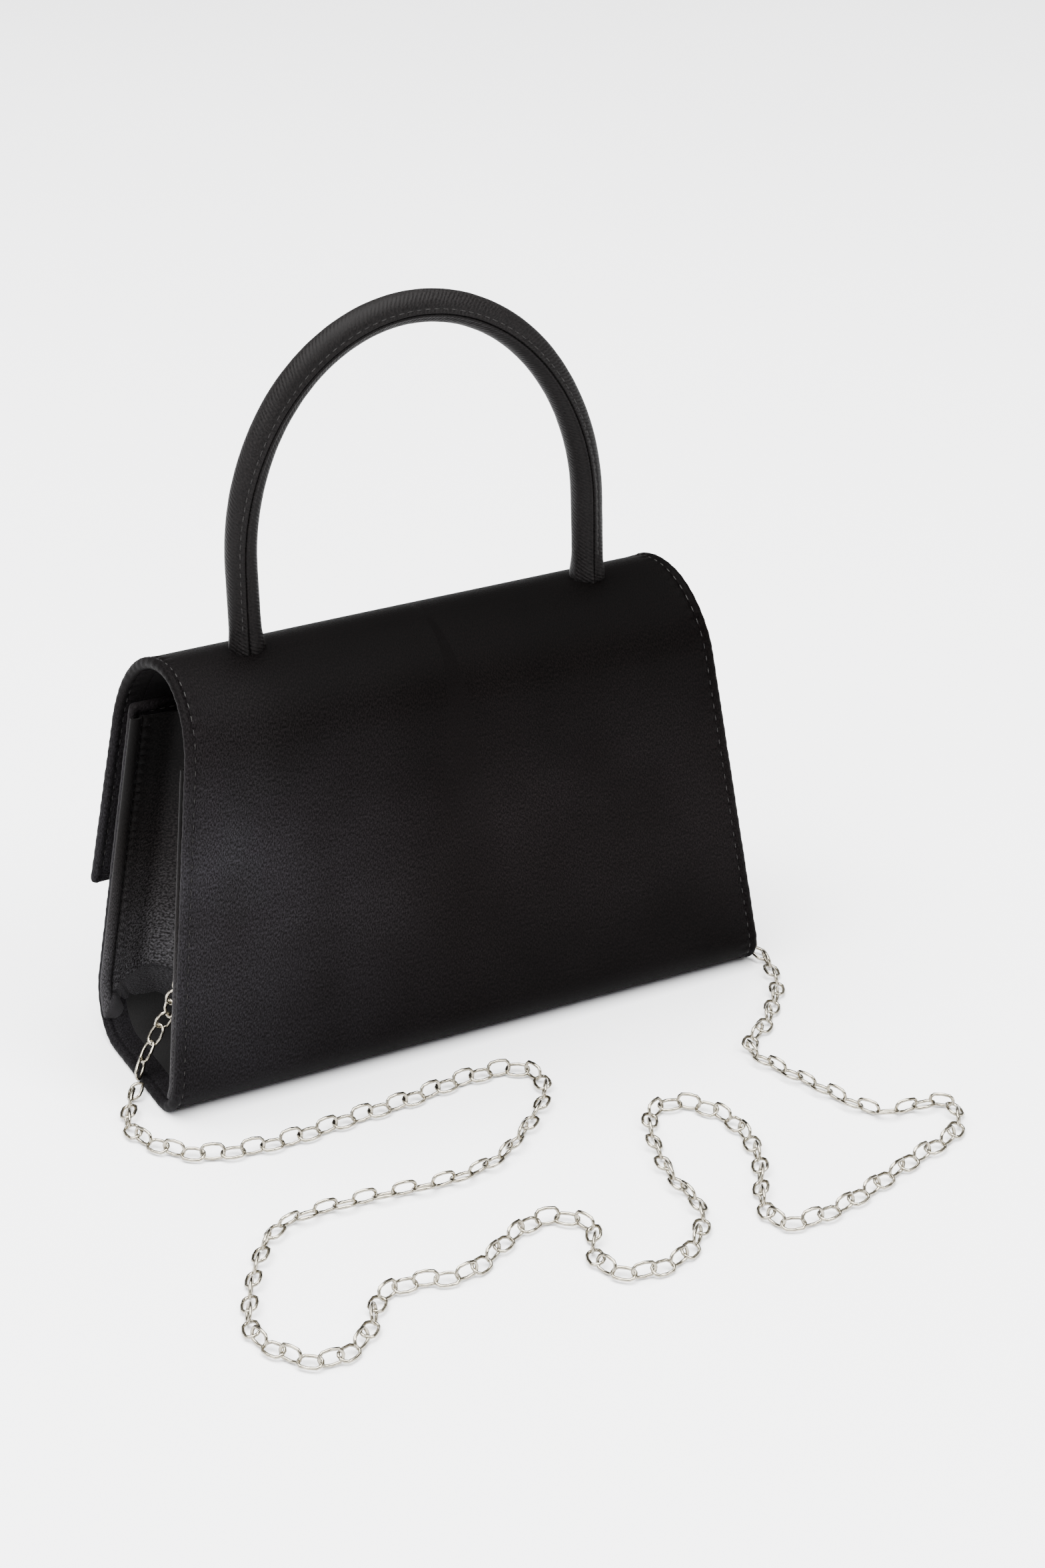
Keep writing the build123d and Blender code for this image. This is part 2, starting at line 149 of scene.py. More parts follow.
def copy_of(piece, matrix):
    """A copy of a piece with its own mesh, its place in the mesh."""
    mesh = piece.data.copy()
    mesh.transform(matrix)
    made = bpy.data.objects.new(piece.name + "_copy", mesh)
    bpy.context.scene.collection.objects.link(made)
    return made


bpy.ops.object.select_all(action="DESELECT")
bpy.ops.mesh.primitive_torus_add(major_segments=12, minor_segments=5, minor_radius=link_wire / 2,
                                 major_radius=(link_width - link_wire) / 2)
link = bpy.context.object
link.name = "link"
half_stretch = (link_length - link_width) / 2
for end in (-1, 1):
    bpy.ops.object.mode_set(mode="OBJECT")
    for vertex in link.data.vertices:
        vertex.select = vertex.co.x * end > 1e-5
    for polygon in link.data.polygons:
        polygon.select = all(link.data.vertices[corner].select for corner in polygon.vertices)
    for edge in link.data.edges:
        edge.select = all(link.data.vertices[corner].select for corner in edge.vertices)
    bpy.ops.object.mode_set(mode="EDIT")
    bpy.ops.transform.translate(value=(end * half_stretch, 0, 0))
bpy.ops.object.mode_set(mode="OBJECT")
bpy.ops.object.shade_smooth()

link_count = round(strap_reach[-1] / link_pitch)
step = strap_reach[-1] / link_count
joints = [strap_place(step * index) for index in range(link_count + 1)]
links = []
for index in range(link_count):
    here, there = joints[index], joints[index + 1]
    along = (there - here).normalized()
    up = Vector((0, 0, 1)) if abs(along.z) < 0.8 else Vector((0, 1, 0))
    across = up.cross(along).normalized()
    lean, wander = link_lean[index % 2]
    roll = radians(lean + wander * noise.noise(Vector((index * 0.37, 4.1, 0))))
    side = Matrix.Rotation(roll, 3, along) @ across
    normal = along.cross(side)
    centre = (here + there) / 2
    if centre.z < floor_reach:
        reach = abs(side.z) * (link_width - link_wire) / 2 + link_wire / 2
        centre.z = max(reach + floor_gap, 0.0 if index % 2 else flat_lift)
    turned = Matrix((along, side, normal)).transposed().to_4x4()
    links.append(copy_of(link, Matrix.Translation(centre) @ turned))
bpy.data.objects.remove(link)
chain = join(links, "chain_links")
only(chain)
bpy.ops.object.shade_smooth()


def linear(colour):
    """An sRGB hex colour as linear values for a socket."""
    parts = [int(colour[index:index + 2], 16) / 255 for index in (1, 3, 5)]
    found = [part / 12.92 if part <= 0.04045 else ((part + 0.055) / 1.055) ** 2.4 for part in parts]
    return tuple(found) + (1.0,)


def new_material(name, **sockets):
    """A material whose shader has these constants on its own sockets."""
    made = bpy.data.materials.new(name)
    made.use_nodes = True
    shader = made.node_tree.nodes["Principled BSDF"]
    for socket, value in sockets.items():
        shader.inputs[socket.replace("_", " ")].default_value = value
    return made


def add_node(material, kind, settings=None, links=None):
    """Add one node with its settings, and link sockets into it."""
    tree = material.node_tree
    made = tree.nodes.new(kind)
    for key, value in (settings or {}).items():
        if isinstance(key, int) or key in made.inputs:
            made.inputs[key].default_value = value
        else:
            setattr(made, key, value)
    for key, source in (links or {}).items():
        tree.links.new(source, made.inputs[key])
    return made


def wire_to(material, socket, source):
    """Link an output into the material's shader."""
    shader = material.node_tree.nodes["Principled BSDF"]
    material.node_tree.links.new(source, shader.inputs[socket])


def ramp(material, source, *stops):
    """The colour of a ramp between placed hex colours."""
    made = add_node(material, "ShaderNodeValToRGB", links={"Fac": source})
    elements = made.color_ramp.elements
    while len(elements) < len(stops):
        elements.new(0.5)
    for element, (place, colour) in zip(elements, stops):
        element.position = place
        element.color = linear(colour)
    return made.outputs["Color"]


def mottle(material, scale, detail, *stops):
    """Colour a material by a noise in object space; gives the noise."""
    place = add_node(material, "ShaderNodeTexCoord")
    made = add_node(material, "ShaderNodeTexNoise", {"Scale": scale, "Detail": detail},
                    {"Vector": place.outputs["Object"]})
    wire_to(material, "Base Color", ramp(material, made.outputs["Fac"], *stops))
    return made.outputs["Fac"]


def cover(piece, material):
    """Give a piece this one material."""
    piece.data.materials.clear()
    piece.data.materials.append(material)


# Bright nickel plate on steel wire: slightly warm mirror, softened by handling, with faint
# hazy patches of 1 to 2 mm where the links rub.
nickel = new_material("bright_nickel_plate", Metallic=1.0, Roughness=0.2)
nickel_haze = mottle(nickel, 600.0, 3.0, (0.3, "#7a7467"), (0.7, "#a39d8e"))
nickel_rough = add_node(nickel, "ShaderNodeMapRange",
                        {"From Min": 0.3, "From Max": 0.7, "To Min": 0.14, "To Max": 0.3},
                        {"Value": nickel_haze})
wire_to(nickel, "Roughness", nickel_rough.outputs["Result"])
cover(chain, nickel)
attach(chain, "bag_body")
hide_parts("chain_strap")
tuple(strap_points[0])
[tuple(point) for point in strap_points]
for name in ("strap_ring_left", "strap_ring_right"):
    cover(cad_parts[name], nickel)

# ---------------------------------------------------------------------------------------
# Outer satin. One cut of black duchess satin is laid over the boards from the middle of
# the base up the back, over the top and down the flap, and a second over the front panel.
# Its side edges are turned round the boards as a soft roll and held by a row of stitches.
front_run, front_turn, front_radius = 98.203, radians(98.2), 18.2
front_top_y, front_top_z, front_lean = -14.21, 118.0, radians(8.2)
front_bend_y, back_bend_y = -10.2, 29.1
base_run = 39.3
back_turn, back_radius, back_run = radians(93.6), 12.7, 101.77
back_foot_y, back_foot_z, back_lean = 41.775, 13.5, radians(3.6)
arch_turn, arch_radius, arch_run = radians(86.4), 25.0, 0.8
brow_turn, brow_radius, flap_run = radians(78.9), 38.3, 62.136
outline_steps = [(front_run, 0), (front_radius, front_turn), (base_run, 0), (back_radius, back_turn),
                 (back_run, 0), (arch_radius, arch_turn), (arch_run, 0), (brow_radius, brow_turn),
                 (flap_run, 0)]
wall = 2.9
half_wall = wall / 2
base_half_width, side_lean = 105.0, 0.12996
stitch_inset = 3.06
stitch_pitch = 4.2
end_pitch = 3.3
corner_round = 1.6
tuck_reach, tuck_step = 9.6, 0.6


def outline(distance, depth=0.0):
    """A point of the bag's side outline in mm: y, z and the heading, at a depth inside it."""
    y, z, heading = front_top_y, front_top_z, radians(-98.2)
    left = distance
    for size, angle in outline_steps:
        length = size * angle if angle else size
        part = min(left, length)
        if angle:
            centre_y, centre_z = y - size * sin(heading), z + size * cos(heading)
            heading += part / size
            y, z = centre_y + size * sin(heading), centre_z - size * cos(heading)
        else:
            y, z = y + part * cos(heading), z + part * sin(heading)
        left -= part
        if left <= 0:
            break
    return y - depth * sin(heading), z + depth * cos(heading), heading


def half_width(z):
    """Half of the wrap's width at a height, in mm."""
    return base_half_width - side_lean * z


base_middle = front_run + front_radius * front_turn + base_run / 2
arch_end = (front_run + front_radius * front_turn + base_run + back_radius * back_turn + back_run
            + arch_radius * arch_turn + arch_run)
satin_join = arch_end + brow_radius * radians(32)
flap_fold = arch_end + brow_radius * radians(40)
outline_length = arch_end + brow_radius * brow_turn + flap_run


def bump(value, centre, spread):
    """A soft bump of height 1."""
    return exp(-((value - centre) / spread) ** 2)


def stitch_wave(distance, pitch):
    """1 at each stitch and 0 half way between, a little uneven as a machine's feed is."""
    drift = 0.35 * noise.noise(Vector((distance * 0.11, 7.3, 0)))
    return 0.5 + 0.5 * cos(2 * pi * (distance / pitch + drift))


def edge_relief(inset, along, pitch):
    """Depth of the satin by a stitched edge: a full roll, a tight groove, then drawn cloth."""
    wave = stitch_wave(along, pitch)
    uneven = noise.noise(Vector((along * 0.31, inset * 0.5, 2.2)))
    roll = -(0.42 + 0.10 * uneven) * bump(inset, 1.6, 0.95)
    groove = (0.30 + 0.20 * wave) * bump(inset, stitch_inset, 0.48)
    drawn = (0.34 * wave ** 2 - 0.16) * bump(inset, stitch_inset + 1.2, 1.1)
    scallop = 0.16 * (wave - 0.5) * bump(inset, 2.1, 0.9)
    return roll + groove + drawn + scallop


def section_columns():
    """Places round the wrap's section: side, inset from the side edge, depth, and which face."""
    flat = [86, 74, 62, 50, 40, 31, 23, 17, 12.5, 9.5, 7.5, 6.2, 5.3, 4.6, 4.05, 3.65, 3.35, 3.06, 2.75,
            2.4, 2.0]
    face = [("out", inset, 0.0) for inset in flat]
    roll = []
    for angle in (90, 112, 135, 158, 180, 202, 225, 248, 270):
        turn = radians(angle)
        roll.append(("roll", 1.5 + 1.5 * cos(turn), half_wall - half_wall * sin(turn)))
    turned = [("in", inset, wall) for inset in (2.1, 2.6, 3.06, 3.5, 4.2, 5.2, 6.6, 8.0, 9.0)]
    tuck = [("hid", 9.3, 2.3), ("hid", 40.0, 2.2)]
    half = face + roll + turned + tuck
    right = [(-1,) + column for column in half]
    left = [(1,) + column for column in reversed(half)]
    loop = left + [(0, "out", 100.0, 0.0)] + right + [(0, "hid", 100.0, 2.2)]
    return loop + [loop[0]]


def wrap_point(column, distance, ends, start_round, end_round):
    """Where a place of the wrap's section lies at a distance along the outline."""
    side, face, inset, depth = column
    z_here = outline(distance)[1]
    half = half_width(z_here)
    before_end = min(distance - ends[0] if start_round else 99.0, ends[1] - distance if end_round else 99.0)
    pull, squeeze = 0.0, 1.0
    if before_end < corner_round:
        corner = max(0.0, 1 - before_end / corner_round)
        pull = corner_round - corner_round * sqrt(max(0.0, 1 - corner ** 2))
    if before_end < half_wall:
        squeeze = sqrt(max(0.0, 1 - (1 - before_end / half_wall) ** 2))
    x = 0.0 if side == 0 else side * (half - inset - pull)
    true_inset = half - abs(x)
    if face == "out" or face == "in":
        near_side = edge_relief(true_inset, distance, stitch_pitch)
        near_end = edge_relief(before_end, x + 200, end_pitch) if before_end < 9 else 0.0
        relief = near_side if true_inset < before_end else near_end
        if abs(true_inset - before_end) < 1.2:
            relief = 0.5 * (near_side + near_end)
        broad = 0.14 * noise.noise(Vector((x * 0.022, distance * 0.019, 5.0)))
        broad += 0.03 * noise.noise(Vector((x * 0.09, distance * 0.07, 9.0)))
        calm = min(1.0, max(0.0, (min(true_inset, before_end) - 3) / 12))
        relief += broad * calm
        depth = depth + relief if face == "out" else depth - 0.8 * relief
    elif face == "hid" and before_end < tuck_reach:
        turned = min(1.0, (tuck_reach - before_end) / tuck_step)
        depth = depth + (wall - depth) * turned - 0.3 * bump(before_end, stitch_inset, 0.5)
    elif face == "roll":
        wave = stitch_wave(distance, stitch_pitch)
        x += side * 0.12 * (wave - 0.5)
        x -= side * 0.10 * noise.noise(Vector((distance * 0.13, side, 1.0)))
        depth += -0.40 * sin((inset / 1.5) * pi / 2) * (1 if depth < half_wall else -1)
    depth = half_wall + (depth - half_wall) * squeeze
    y, z, _ = outline(distance, depth)
    return Vector((x, y, max(z, 0.02))) * MM


def laid_grid(name, columns, rows, place, uv_place):
    """A grid laid into shape: one vertex per column and row, with a map in metres."""
    bpy.ops.object.select_all(action="DESELECT")
    bpy.ops.mesh.primitive_grid_add(x_subdivisions=len(columns) - 1, y_subdivisions=len(rows) - 1, size=1)
    piece = bpy.context.object
    piece.name = name
    piece.data.name = name
    index_of = {}
    for vertex in piece.data.vertices:
        column = round((vertex.co.x + 0.5) * (len(columns) - 1))
        row = round((vertex.co.y + 0.5) * (len(rows) - 1))
        index_of[vertex.index] = (column, row)
    for vertex in piece.data.vertices:
        column, row = index_of[vertex.index]
        vertex.co = place(columns[column], rows[row])
    layer = piece.data.uv_layers.active.data
    for loop in piece.data.loops:
        column, row = index_of[loop.vertex_index]
        layer[loop.index].uv = uv_place(column, row)
    return piece


def close_shell(piece, smooth_angle=50):
    """Merge a shell's joined sides, close its ends and turn its faces out."""
    only(piece)
    bpy.ops.object.mode_set(mode="EDIT")
    bpy.ops.mesh.select_all(action="SELECT")
    bpy.ops.mesh.remove_doubles(threshold=0.000002)
    bpy.ops.mesh.fill_holes(sides=0)
    bpy.ops.mesh.select_all(action="SELECT")
    bpy.ops.mesh.normals_make_consistent(inside=False)
    bpy.ops.object.mode_set(mode="OBJECT")
    bpy.ops.object.shade_smooth_by_angle(angle=radians(smooth_angle))
    return piece


def rows_between(start, end, spacing, fine_start, fine_end):
    """Row places along the outline, close together by a turned end."""
    close = [0.0, 0.06, 0.22, 0.5, 0.9, 1.45, 2.0, 2.4, 2.75, 3.06, 3.35, 3.65, 4.05, 4.6, 5.3, 6.2]
    first = [start + gap for gap in close] if fine_start else [start]
    last = [end - gap for gap in reversed(close)] if fine_end else [end]
    count = round((last[0] - first[-1]) / spacing)
    middle = [first[-1] + (last[0] - first[-1]) * index / count for index in range(1, count)]
    return first + middle + last


def wrap_satin(name, start, end, start_round, end_round):
    """One length of the satin shell."""
    columns = section_columns()
    rows = rows_between(start, end, 0.72, start_round, end_round)
    reach = [0.0]
    for before, after in zip(columns, columns[1:]):
        before_x = before[0] * (100 - before[2])
        after_x = after[0] * (100 - after[2])
        reach.append(reach[-1] + hypot(after_x - before_x, after[3] - before[3]) * MM)
    piece = laid_grid(name, columns, rows,
                      lambda column, row: wrap_point(column, row, (start, end), start_round, end_round),
                      lambda column, row: (reach[column], rows[row] * MM))
    return close_shell(piece)


back_satin = wrap_satin("back_satin_skin", base_middle, satin_join, False, False)
flap_satin = wrap_satin("flap_satin_skin", satin_join, outline_length, False, True)
front_satin = wrap_satin("front_satin_skin", 0.0, base_middle, True, False)

# Black duchess satin: long warp floats give a soft, broad sheen and a fine broken grain
# along the cloth. Real floats are about 0.15 mm apart; they are drawn 0.4 mm wide and 0.9 mm
# long so that the grain shows, with slubs of 2 by 6 mm and slow changes of tone over 35 mm.
satin = new_material("duchess_satin_black", Roughness=0.46, Specular_IOR_Level=0.017, Sheen_Weight=0.003,
                     Sheen_Roughness=0.45)
# Height in mm over which the satins' painted shade tints are spread.
painted_shade_height = 140.0
wave_unit = 0.314  # the wave texture's scale for one ridge a metre


def multiplied(material, one, other):
    """Two colours multiplied."""
    made = add_node(material, "ShaderNodeMix", {"data_type": "RGBA", "blend_type": "MULTIPLY", 0: 1.0},
                    {6: one, 7: other})
    return made.outputs[2]


def dress_satin(material, dark, light, map_turn=0.0, grain=2700.0, ridge_gap=0.0, height_shade=None,
                side_shade=False):
    """The satin's tone, grain and bump, on the piece's own map. The list of tints at heights in mm
    paints shade into the colour by height; the side flag paints shade too, darkening the half at negative x."""
    mapped = add_node(material, "ShaderNodeTexCoord")
    laid = add_node(material, "ShaderNodeMapping",
                    {"vector_type": "TEXTURE", "Rotation": (0, 0, map_turn), "Scale": (1.0, 2.4, 1.0)},
                    {"Vector": mapped.outputs["UV"]})
    floats = add_node(material, "ShaderNodeTexNoise", {"Scale": grain, "Detail": 2.0, "Roughness": 0.6},
                      {"Vector": laid.outputs["Vector"]})
    slubs = add_node(material, "ShaderNodeTexNoise", {"Scale": 420.0, "Detail": 2.0},
                     {"Vector": laid.outputs["Vector"]})
    slow = add_node(material, "ShaderNodeTexNoise", {"Scale": 28.0, "Detail": 2.0},
                    {"Vector": mapped.outputs["Object"]})
    tone = multiplied(material, ramp(material, floats.outputs["Fac"], (0.40, dark), (0.66, light)),
                      ramp(material, slow.outputs["Fac"], (0.3, "#cdc9c6"), (0.7, "#ffffff")))
    # Painted shade: the colour is multiplied by tints at heights and, with the side flag, by a ramp across x
    # that darkens the half at negative x. Both stand in for how the light falls on the bag.
    if height_shade:
        place = add_node(material, "ShaderNodeSeparateXYZ", {}, {"Vector": mapped.outputs["Object"]})
        up = add_node(material, "ShaderNodeMapRange", {"From Max": painted_shade_height * MM},
                      {"Value": place.outputs["Z"]})
        painted_shade = ramp(material, up.outputs["Result"], *[(height / painted_shade_height, tint) for height, tint in height_shade])
        if side_shade:
            across = add_node(material, "ShaderNodeMapRange",
                              {"interpolation_type": "SMOOTHSTEP", "From Max": base_half_width * MM},
                              {"Value": place.outputs["X"]})
            painted_shade = multiplied(material, painted_shade,
                             ramp(material, across.outputs["Result"], (0.0, "#9a8f89"), (1.0, "#ffffff")))
        tone = multiplied(material, tone, painted_shade)
    wire_to(material, "Base Color", tone)
    rough = add_node(material, "ShaderNodeMapRange",
                     {"From Min": 0.3, "From Max": 0.7, "To Min": 0.50, "To Max": 0.70},
                     {"Value": floats.outputs["Fac"]})
    wire_to(material, "Roughness", rough.outputs["Result"])
    weave = add_node(material, "ShaderNodeMath", {"operation": "MULTIPLY_ADD", 1: 0.2},
                     {0: slubs.outputs["Fac"], 2: floats.outputs["Fac"]})
    if ridge_gap:
        ridges = add_node(material, "ShaderNodeTexWave",
                          {"Scale": wave_unit / ridge_gap, "Distortion": 2.0, "Detail": 2.0,
                           "Detail Scale": 1.5}, {"Vector": laid.outputs["Vector"]})
        weave = add_node(material, "ShaderNodeMath", {"operation": "MULTIPLY_ADD", 1: 0.9},
                         {0: ridges.outputs["Fac"], 2: weave.outputs["Value"]})
    relief = add_node(material, "ShaderNodeBump", {"Strength": 0.7, "Distance": 0.00014},
                      {"Height": weave.outputs["Value"]})
    wire_to(material, "Normal", relief.outputs["Normal"])


# Painted shade: the outer satin's colour is darkened near the base, over the top arch and on the half at
# negative x, where less light falls.
dress_satin(satin, "#0e0d0e", "#272629", side_shade=True,
            height_shade=((0, "#a8a6a5"), (58, "#ffffff"), (85, "#fdfdfd"), (118, "#b5aeaa"), (137, "#7a736f")))

fold_start = outline(flap_fold - 2.0)
fold_end = outline(flap_fold + 2.5)


def follow_flap(piece):
    """Bake a flap piece's place into its mesh."""
    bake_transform(piece)


def follow_front(piece):
    """Bake a front panel piece's place into its mesh."""
    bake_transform(piece)


for piece in (back_satin, flap_satin, front_satin):
    cover(piece, satin)
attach(back_satin, "bag_body")
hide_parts("body_satin")
follow_flap(flap_satin)
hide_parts("flap_satin")
follow_front(front_satin)
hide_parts("front_satin")

# ---------------------------------------------------------------------------------------
# Edge stitches. Polyester sewing thread, about 0.3 mm thick, locked through satin and board;
# each stitch sits down in its groove as a short tight grain.
thread_radius = 0.21


def one_stitch(length):
    """A single stitch: a round grain of thread, drawn out along X."""
    bpy.ops.object.select_all(action="DESELECT")
    bpy.ops.mesh.primitive_uv_sphere_add(segments=6, ring_count=5, radius=thread_radius * MM)
    made = bpy.context.object
    bpy.ops.object.mode_set(mode="EDIT")
    bpy.ops.mesh.select_all(action="SELECT")
    bpy.ops.transform.rotate(value=pi / 2, orient_axis="Y", center_override=(0, 0, 0))
    bpy.ops.transform.resize(value=(length / (2 * thread_radius), 1, 1), center_override=(0, 0, 0))
    bpy.ops.object.mode_set(mode="OBJECT")
    bpy.ops.object.shade_smooth()
    made.name = "stitch"
    return made


def stitch_row(stitch, places):
    """Copies of a stitch at places: a point, the way along, and the way up, in mm."""
    made = []
    for index, (point, along, up) in enumerate(places):
        along = along.normalized()
        sideways = up.cross(along).normalized()
        sway = 0.10 * noise.noise(Vector((index * 0.9, 3.3, point.x * 0.05)))
        along = (along + sideways * sway).normalized()
        sideways = up.cross(along).normalized()
        turned = Matrix((along, sideways, along.cross(sideways))).transposed().to_4x4()
        made.append(copy_of(stitch, Matrix.Translation(point * MM) @ turned))
    return made


def side_stitches(start, end, depth, face):
    """Stitches of both side rows between two distances along the outline."""
    places = []
    count = int((end - start) / stitch_pitch)
    for side in (-1, 1):
        for index in range(count + 1):
            distance = (int(start / stitch_pitch) + 1 + index) * stitch_pitch
            if distance > end:
                continue
            y, z, heading = outline(distance, depth)
            x = side * (half_width(outline(distance)[1]) - stitch_inset)
            up = Vector((0, sin(heading), -cos(heading))) * face
            along = Vector((side * -0.13 * sin(heading), cos(heading), sin(heading)))
            places.append((Vector((x, y, z)), along, up))
    return places


def end_stitches(end, inward, depth, face):
    """Stitches of a row across the wrap, beside a turned end."""
    distance = end + inward * stitch_inset
    y, z, heading = outline(distance, depth)
    half = half_width(z) - 4.5
    count = int(2 * half / end_pitch)
    up = Vector((0, sin(heading), -cos(heading))) * face
    return [(Vector((-half + end_pitch * index, y, z)), Vector((1, 0, 0)), up) for index in range(count + 1)]


thread = new_material("sewing_thread_black", Roughness=0.4, Specular_IOR_Level=0.09)
mottle(thread, 4000.0, 1.0, (0.35, "#121111"), (0.65, "#2a2928"))

stitch = one_stitch(2.1)
groove_depth = 0.36
inner_depth = wall - 0.25
back_places = side_stitches(base_middle, satin_join, groove_depth, 1)
back_threads = join(stitch_row(stitch, back_places), "back_threads")
flap_places = (side_stitches(satin_join, outline_length - 5, groove_depth, 1)
               + side_stitches(flap_fold + 12, outline_length - 5, inner_depth, -1)
               + end_stitches(outline_length, -1, groove_depth, 1)
               + end_stitches(outline_length, -1, inner_depth, -1))
flap_threads = join(stitch_row(stitch, flap_places), "flap_threads")
front_places = (side_stitches(4, base_middle, groove_depth, 1) + end_stitches(0, 1, groove_depth, 1)
                + end_stitches(0, 1, inner_depth, -1))
front_threads = join(stitch_row(stitch, front_places), "front_threads")
for piece in (back_threads, flap_threads, front_threads):
    cover(piece, thread)
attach(back_threads, "bag_body")
follow_flap(flap_threads)
follow_front(front_threads)

# ---------------------------------------------------------------------------------------
# Linings. Thin matt lining cloth is glued to the boards' inner faces and tucked under the
# turned satin edges; the flap's inner face has a facing of the outer satin instead.
lining_cloth = new_material("matt_lining_cloth_black", Roughness=0.75, Specular_IOR_Level=0.08,
                            Sheen_Weight=0.03)
dress_satin(lining_cloth, "#080808", "#121111", grain=3000.0)


lining_inset = 8.6
lining_ply = 0.3


def thicken(piece, thickness, offset=0):
    """Give a cloth its thickness in mm."""
    only(piece)
    solid = piece.modifiers.new("thickness", "SOLIDIFY")
    solid.thickness = thickness * MM
    solid.offset = offset
    bpy.ops.object.modifier_apply(modifier="thickness")


def inner_sheet(name, start, end, lift=0.0, spacing=2.6):
    """A thin cloth on the wrap's inner face between two distances."""
    count = max(2, round((end - start) / spacing))
    rows = [start + (end - start) * index / count for index in range(count + 1)]
    shares = [-1 + 2 * index / 44 for index in range(45)]

    def place(column, row):
        half = half_width(outline(row)[1]) - lining_inset
        x = column * half
        wave = 0.10 * noise.noise(Vector((x * 0.06, row * 0.06, 3.0)))
        edge = min(1.0, (half - abs(x)) / 2, (row - start) / 2, (end - row) / 2)
        y, z, _ = outline(row, wall + lift + wave * max(0.0, edge))
        return Vector((x, y, z)) * MM

    piece = laid_grid(name, shares, rows, place, lambda column, row: (shares[column] * 0.1, rows[row] * MM))
    thicken(piece, lining_ply)
    return close_shell(piece)


body_lining = inner_sheet("body_lining_cloth", base_middle, flap_fold - 4)
flap_facing = inner_sheet("flap_facing_satin", flap_fold - 9, outline_length - 8.0, 0.2)
front_lining = inner_sheet("front_lining_cloth", 8.0, base_middle)
for piece, cloth, slot_name in ((body_lining, lining_cloth, "lining"), (flap_facing, satin, "satin"),
                                (front_lining, lining_cloth, "lining")):
    cover(piece, cloth)
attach(body_lining, "bag_body")
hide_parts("body_lining")
follow_flap(flap_facing)
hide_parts("flap_lining")
follow_front(front_lining)
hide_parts("front_lining")

# ---------------------------------------------------------------------------------------
# Gussets. A satin ply and a lining ply are folded like a bellows: a padded flange sewn inside
# the front panel, a soft panel that turns in to the fold, another back to the rear flange,
# and a foot folded up over the base so that the end stays hollow.
gusset_top = 114.0
gusset_depth = 30.0
gusset_fold_y = 8.0
gusset_stitch = 3.6
gusset_plies = 0.8
ladder_pitch = 3.4
rung_low, rung_pitch, rung_count = 12.0, 3.3, 31


def gusset_plan(z):
    """The soft line of a gusset at a height in mm: inset from the side, and y."""
    front_y = front_top_y - (front_top_z - z) * tan(front_lean) + wall / cos(front_lean)
    back_y = back_foot_y - (z - back_foot_z) * tan(back_lean) - wall / cos(back_lean)
    if z < front_radius:
        front_y = front_bend_y - sqrt(max(0.0, (front_radius - wall) ** 2 - (front_radius - z) ** 2))
    if z < back_radius:
        back_y = back_bend_y + sqrt(max(0.0, (back_radius - wall) ** 2 - (back_radius - z) ** 2))
    return [(1.8, front_y + 0.1), (0.5, front_y + 0.4), (0.15, front_y + 1.2), (0.9, front_y + 2.1),
            (2.3, front_y + 2.3), (3.7, front_y + 1.3), (5.2, front_y + 1.6), (9.0, front_y + 1.8),
            (15.5, front_y + 3.0), (22.0, (front_y + gusset_fold_y) / 2 - 1.0),
            (28.2, gusset_fold_y - 3.0), (gusset_depth + 0.5, gusset_fold_y + 0.5),
            (28.2, gusset_fold_y + 4.0),
            (22.0, (back_y + gusset_fold_y) / 2 + 1.5), (15.5, back_y - 3.0), (9.0, back_y - 1.8),
            (5.2, back_y - 1.6), (3.7, back_y - 1.3), (2.3, back_y - 2.3), (0.9, back_y - 2.1),
            (0.15, back_y - 1.2), (0.5, back_y - 0.4), (1.8, back_y - 0.1)]


def soft_line(points, share):
    """A smooth curve through points, from 0 at the first to 1 at the last."""
    place = share * (len(points) - 1)
    index = min(int(place), len(points) - 2)
    part = place - index
    before = points[max(index - 1, 0)]
    here, there = points[index], points[index + 1]
    after = points[min(index + 2, len(points) - 1)]
    found = []
    for axis in range(len(here)):
        slope_in = (there[axis] - before[axis]) / 2
        slope_out = (after[axis] - here[axis]) / 2
        square, cube = part ** 2, part ** 3
        found.append((2 * cube - 3 * square + 1) * here[axis] + (cube - 2 * square + part) * slope_in
                     + (3 * square - 2 * cube) * there[axis] + (cube - square) * slope_out)
    return found


def foot_height(share):
    """Height of the gusset's folded foot over the base along its line."""
    rise = bump(share, 0.5, 0.30)
    return 4.6 + 21.0 * rise + 1.2 * noise.noise(Vector((share * 9, 1.7, 0)))


